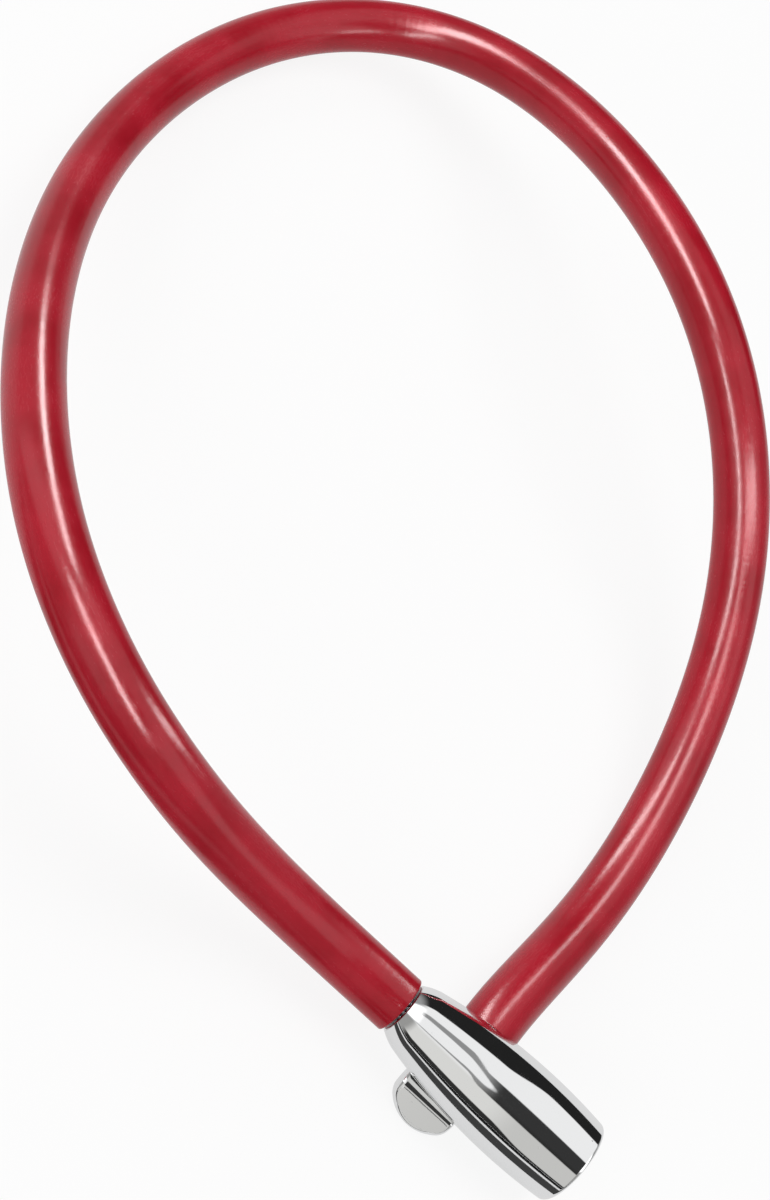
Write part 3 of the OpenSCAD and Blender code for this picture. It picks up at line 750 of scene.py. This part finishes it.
def makeCards():
    # dark cards flat on the floor in front of the barrel. Only reflections see them.
    for name, (near, far), shade in studio["cards"]:
        corners = [(studio["cardX"][i], y, 0) for i, y in ((0, near), (1, near), (1, far), (0, far))]
        points = placed(corners)
        points[:, 2] = studio["cardLift"]
        mesh = bpy.data.meshes.new("card_" + name)
        mesh.from_pydata([tuple(p) for p in points], [], [(0, 1, 2, 3)])
        f = newFinish("card_" + name)
        glow = f.add("ShaderNodeEmission", {}, {"Color": (shade, shade, shade, 1), "Strength": 1.0})
        f.add("ShaderNodeOutputMaterial", {}, {"Surface": glow.outputs[0]})
        mesh.materials.append(f.owner)
        card = bpy.data.objects.new("card_" + name, mesh)
        bpy.context.collection.objects.link(card)
        card.visible_camera = card.visible_diffuse = card.visible_shadow = card.visible_transmission = False


# the room: four numbers are a smooth step along the barrel's X direction (from, to, value before, value
# after), and two are a smooth step from 0 to 1. Angles are in radians about that direction, 0 at the plug's
# side.
room = {"lowFrom": (-0.05, 0.0), "lowTop": (0.12, 0.30, 0.92, 0.60), "lowSoft": (-0.02, 0.02),
        "lowDark": 0.982,
        "nearFrom": (-0.01, 0.08, 1.36, 1.62), "nearTo": (0.0, 0.07, 2.14, 2.29),
        "nearSoft": ((-0.02, 0.03), (-0.03, 0.02)), "nearShade": (0.06, 0.15, 0.68, 0.96),
        "ovalShift": 0.45, "ovalAt": (-0.02, 0.10, 1.83, 1.97), "ovalSize": (0.57, 0.27),
        "ovalSoft": (0.85, 1.12), "horizon": (0.18, 0.32, 2.93, 3.07), "horizonSoft": (-0.02, 0.02),
        "horizonDark": 0.96, "front": 0.93, "behindFrom": (2.1, 2.3), "behind": (0.13, 0.27, 0.75, 0.60),
        "behindTint": (1, 0.995, 0.965, 1), "noseSide": (-0.64, -0.38), "keySide": (0.50, 0.66),
        "awayLevel": 0.34, "overheadFrom": (0.95, 1.2), "overheadTo": (2.0, 2.2), "overhead": 1.3}


def makeWorld():
    # the world is white to the camera and pale to matt surfaces. Mirrors see it by the angle about the
    # barrel's axis: pale overhead, greyer behind, with a dark band low behind the plug's side and one round
    # the camera that has a bright oval in it. Away to both sides the room is dim, but for a broad light
    # overhead.
    world = bpy.data.worlds.new("studio")
    bpy.context.scene.world = world
    f = Finish(world)
    rays = f.add("ShaderNodeLightPath")
    spread = f.add("ShaderNodeSeparateXYZ", {},
                   {"Vector": f.add("ShaderNodeTexCoord").outputs["Generated"]})
    x, y, z = (f.signal(spread, k) for k in range(3))
    angle = z.angleTo(y)
    # a band is 1 between two angles and 0 outside
    lowTop = x.eased(*room["lowTop"])
    low = angle.eased(*room["lowFrom"]) * (1 - (angle - lowTop).eased(*room["lowSoft"]))
    nearFrom, nearTo = x.eased(*room["nearFrom"]), x.eased(*room["nearTo"])
    rising, falling = room["nearSoft"]
    near = (angle - nearFrom).eased(*rising) * (1 - (angle - nearTo).eased(*falling))
    # the oval: ((x + shift) / width) to the 4th + ((angle - middle) / height) squared is under 1 inside it
    ovalAt = x.eased(*room["ovalAt"])
    width, height = room["ovalSize"]
    oval = ((x + room["ovalShift"]).size() / width) ** 4.0 + ((angle - ovalAt) / height) ** 2.0
    nearShade = oval.eased(*room["ovalSoft"]) * x.eased(*room["nearShade"])
    last = x.eased(*room["horizon"])
    horizon = (angle - last).eased(*room["horizonSoft"])
    behind = x.eased(*room["behind"])
    pale = angle.eased(*room["behindFrom"])
    level = room["front"] * (1 - pale) + behind * pale
    across = level * (1 - low * room["lowDark"]) * (1 - near * nearShade)
    across = across * (1 - horizon * room["horizonDark"])
    away = 1 - x.eased(*room["noseSide"]) * (1 - x.eased(*room["keySide"]))
    overhead = angle.eased(*room["overheadFrom"]) * (1 - angle.eased(*room["overheadTo"]))
    mirrored = across * (1 - away) + (room["awayLevel"] + overhead * room["overhead"]) * away
    camera = f.signal(rays, "Is Camera Ray").most(f.signal(rays, "Is Transmission Ray"))
    glossy = f.signal(rays, "Is Glossy Ray") * (1 - camera)
    strength = camera + glossy * mirrored + (1 - camera) * (1 - glossy) * studio["ambient"]
    tint = f.blend(glossy * pale, (1, 1, 1, 1), room["behindTint"])
    light = f.add("ShaderNodeBackground", {}, {"Color": tint, "Strength": strength})
    f.add("ShaderNodeOutputWorld", {}, {"Surface": light.outputs[0]})


def hangLamp(name, place, aim, along):
    # a lamp at place turned to shine on aim, its long side along the given direction
    lamp = bpy.data.lights.new(name, "AREA")
    back = place - aim
    back /= np.linalg.norm(back)
    right = np.asarray(along, float) - np.dot(along, back) * back
    right /= np.linalg.norm(right)
    stand = np.eye(4)
    stand[:3, 0], stand[:3, 1], stand[:3, 2], stand[:3, 3] = right, np.cross(back, right), back, place
    item = bpy.data.objects.new(name, lamp)
    item.matrix_world = Matrix(stand.tolist())
    bpy.context.collection.objects.link(item)
    item.visible_camera = False
    return item, lamp


def makeLamps():
    # big square lamps light the matt surfaces, and slim ones near the cable give the vinyl its streaks
    for name, position, size, power in studio["lamps"]:
        place = placed(position)
        item, lamp = hangLamp("lamp_" + name, place, placed(studio["lampsAim"]), (-place[1], place[0], 0))
        lamp.shape, lamp.size, lamp.energy = "SQUARE", size * 0.001, power
        item.visible_glossy = False
    glossed = bpy.data.collections.new("glossed_vinyl")
    for name in ("jacket_fixed", "jacket_free"):
        glossed.objects.link(bpy.data.objects[name])
    for name, position, along, length, width, strength in studio["tubes"]:
        item, lamp = hangLamp("tube_" + name, placed(position), placed(studio["tubesAim"]), along)
        lamp.shape, lamp.size, lamp.size_y = "RECTANGLE", length * 0.001, width * 0.001
        # four watts a square metre make a radiance of one
        lamp.energy = strength * 4 * lamp.size * lamp.size_y
        item.visible_diffuse = False
        item.light_linking.receiver_collection = glossed


makeFloor()
makeCards()
makeWorld()
makeLamps()
bpy.context.scene.view_settings.view_transform = "Standard"
print("studio lit")
